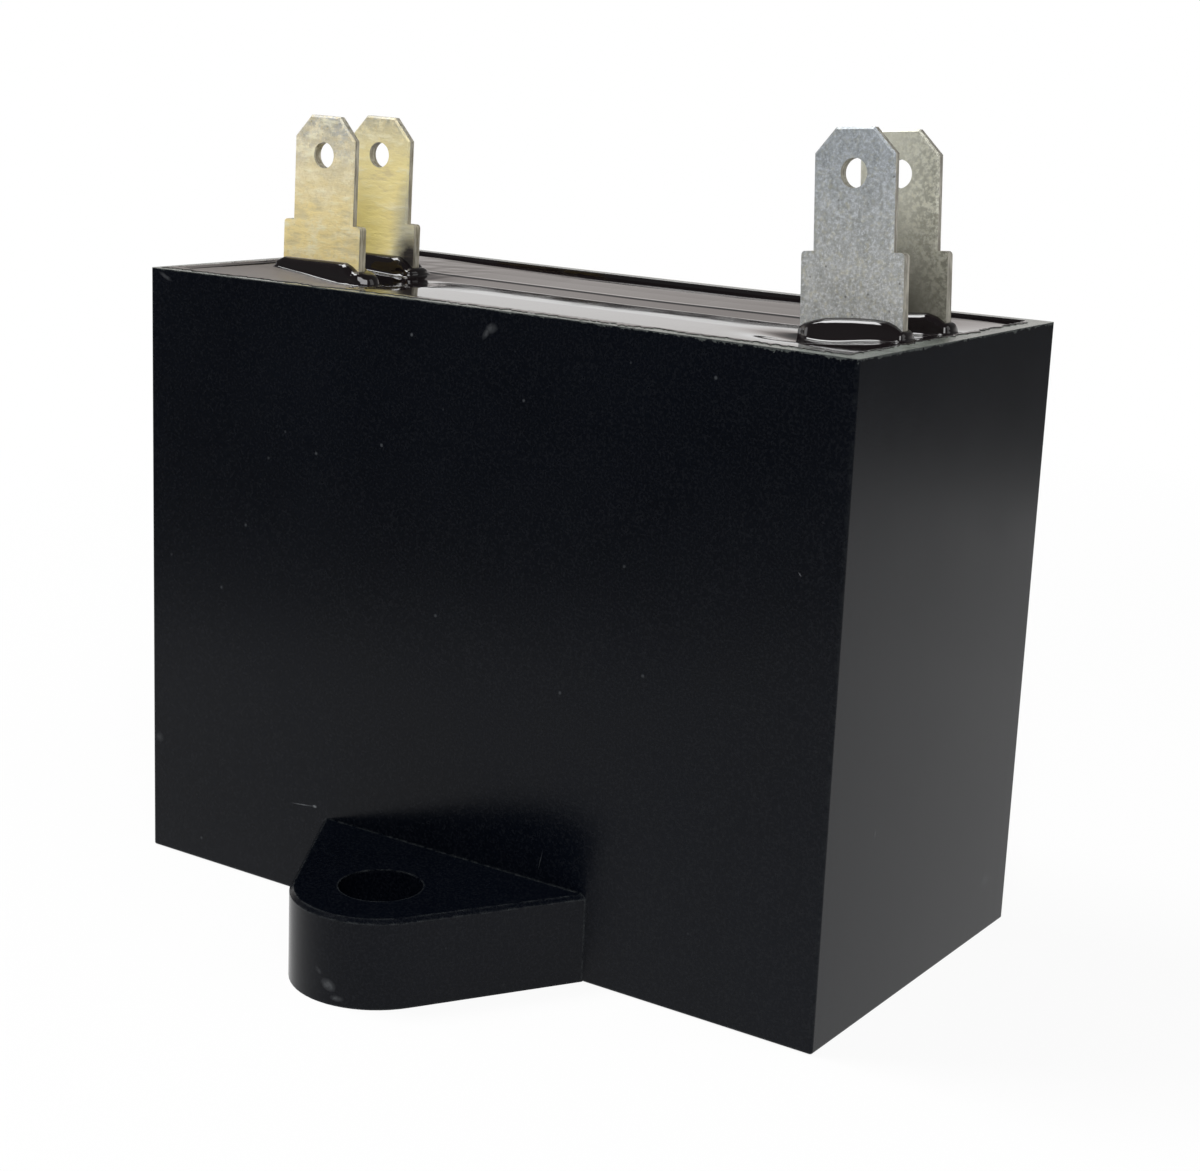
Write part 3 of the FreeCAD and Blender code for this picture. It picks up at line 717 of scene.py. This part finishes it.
# Floor. A plain white sheet of paper under the part. The camera sees it clean white, with a faint
# shadow near the part. In the part's gloss it glows as a painted pool of light, bright only close
# by.
bpy.ops.object.select_all(action="DESELECT")
bpy.ops.mesh.primitive_plane_add(size=6.0, location=(0, 0, -0.05 * mm))
floor = bpy.context.object
floor.name = "white_floor"
paper, tree, shader = new_finish("white_paper")
shader.inputs["Base Color"].default_value = (0.95, 0.95, 0.95, 1)
shader.inputs["Roughness"].default_value = 0.9
shader.inputs["Specular IOR Level"].default_value = 0.0
seen = put(tree, "LightPath")
direct = calc(tree, "MAXIMUM", seen.outputs["Is Camera Ray"], seen.outputs["Is Transmission Ray"])
mirrored = seen.outputs["Is Glossy Ray"]
place = place_on_piece(tree)
lit_centre = (40 * mm, 30 * mm, 0)
away = put(tree, "VectorMath", {0: place, 1: lit_centre}, operation="DISTANCE").outputs["Value"]
# painted light: for the part's gloss the floor glows, brightest close to the part
sheet_light = ramp(tree, away, (0.05, 1.0), (0.10, 0.88), (0.14, 0.90), (0.19, 0.36),
                   (0.25, 0.21), (0.40, 0.15))
clear = ramp(tree, away, (0.08, 0.92), (0.22, 1.0))
brightness = calc(tree, "MAXIMUM", direct, sheet_light)
glow = put(tree, "Emission", {"Color": (1, 1, 1, 1), "Strength": brightness})
share = calc(tree, "MAXIMUM", calc(tree, "MULTIPLY", direct, clear), mirrored)
mixed = put(tree, "MixShader", {0: share, 1: shader.outputs[0], 2: glow.outputs[0]})
tree.links.new(mixed.outputs[0], tree.nodes["Material Output"].inputs["Surface"])
floor.data.materials.append(paper)


# Studio. A white wall behind the part that dims overhead and a window at the left, both seen only
# in the gloss, and three large soft lamps. The camera itself sees plain white.
world = bpy.data.worlds.new("studio")
bpy.context.scene.world = world
world.use_nodes = True
tree = world.node_tree
tree.nodes.clear()
look = put(tree, "TexCoord").outputs["Generated"]
rise = put(tree, "SeparateXYZ", {0: look}).outputs[2]
back_wall = ramp(
    tree, rise, (0.026, (1.0, 1.0, 1.0)), (0.052, (0.92, 0.91, 0.90)), (0.087, (0.86, 0.83, 0.81)),
    (0.122, (0.78, 0.74, 0.72)), (0.165, (0.58, 0.54, 0.52)), (0.22, (0.36, 0.33, 0.32)),
    (0.32, (0.2, 0.2, 0.2)), (1.0, (0.12, 0.12, 0.12)),
)


def towards(direction):
    """How squarely a ray looks in one direction, 1 when straight at it."""
    return put(tree, "VectorMath", {0: look, 1: direction}, operation="DOT_PRODUCT").outputs["Value"]


to_wall, to_window = towards((-0.57, 0.82, 0)), towards((-0.946, -0.307, 0.105))
room = ramp(tree, rise, (0.1, 0.22), (1.0, 0.12))
sky = blend(tree, ramp(tree, to_wall, (0.2, 0.0), (0.7, 1.0)), room, back_wall)
sky = blend(tree, ramp(tree, to_window, (0.93, 0.0), (0.98, 0.9)), sky, (2.2, 2.2, 2.2))
sky = blend(tree, put(tree, "LightPath").outputs["Is Camera Ray"], sky, (1, 1, 1))
air = put(tree, "Background", {"Color": sky, "Strength": 1.0})
tree.links.new(air.outputs[0], put(tree, "OutputWorld").inputs["Surface"])


def soft_lamp(name, azimuth, elevation, distance, width, height, radiance):
    """A soft box that faces the part; azimuth 0 is in front and 90 at the right, in degrees."""
    a, e = math.radians(azimuth), math.radians(elevation)
    aim = Vector((0, 0, 30 * mm))
    out = Vector((math.sin(a) * math.cos(e), -math.cos(a) * math.cos(e), math.sin(e)))
    lamp = bpy.data.lights.new(name, "AREA")
    lamp.shape = "RECTANGLE"
    lamp.size, lamp.size_y = width, height
    lamp.energy = radiance * math.pi * width * height
    made = bpy.data.objects.new(name, lamp)
    made.location = aim + out * distance
    made.rotation_mode = "QUATERNION"
    made.rotation_quaternion = out.to_track_quat("Z", "Y")
    bpy.context.scene.collection.objects.link(made)
    made.visible_camera = False


soft_lamp("left_soft_box", -70, 61, 0.7, 0.25, 0.25, 14.0)
soft_lamp("front_fill", 35, 35, 0.7, 0.35, 0.35, 7.0)
soft_lamp("right_fill", 100, 35, 0.7, 0.4, 0.4, 1.2)


# Camera. It stands where the photograph was taken from, to the right of the front and a little
# above the rim. Its place, directions, lens and shift come from a fit to the photo's edges.
camera_place = Vector((0.095806, -0.139462, 0.067106))
camera_forward = Vector((-0.520842, 0.823345, -0.225448))
camera_down = Vector((0.162103, -0.163899, -0.973067))
camera_right = camera_down.cross(camera_forward)
view = bpy.data.cameras.new("photo_camera")
view.sensor_fit = "HORIZONTAL"
view.sensor_width = 36.0
view.lens = 65.161
view.shift_x, view.shift_y = -0.052752, -0.025582
view.clip_start, view.clip_end = 0.01, 20
camera = bpy.data.objects.new("photo_camera", view)
turn = Matrix((camera_right, -camera_down, -camera_forward)).transposed()
camera.matrix_world = Matrix.Translation(camera_place) @ turn.to_4x4()
bpy.context.scene.collection.objects.link(camera)
bpy.context.scene.camera = camera
bpy.context.scene.view_settings.view_transform = "Standard"
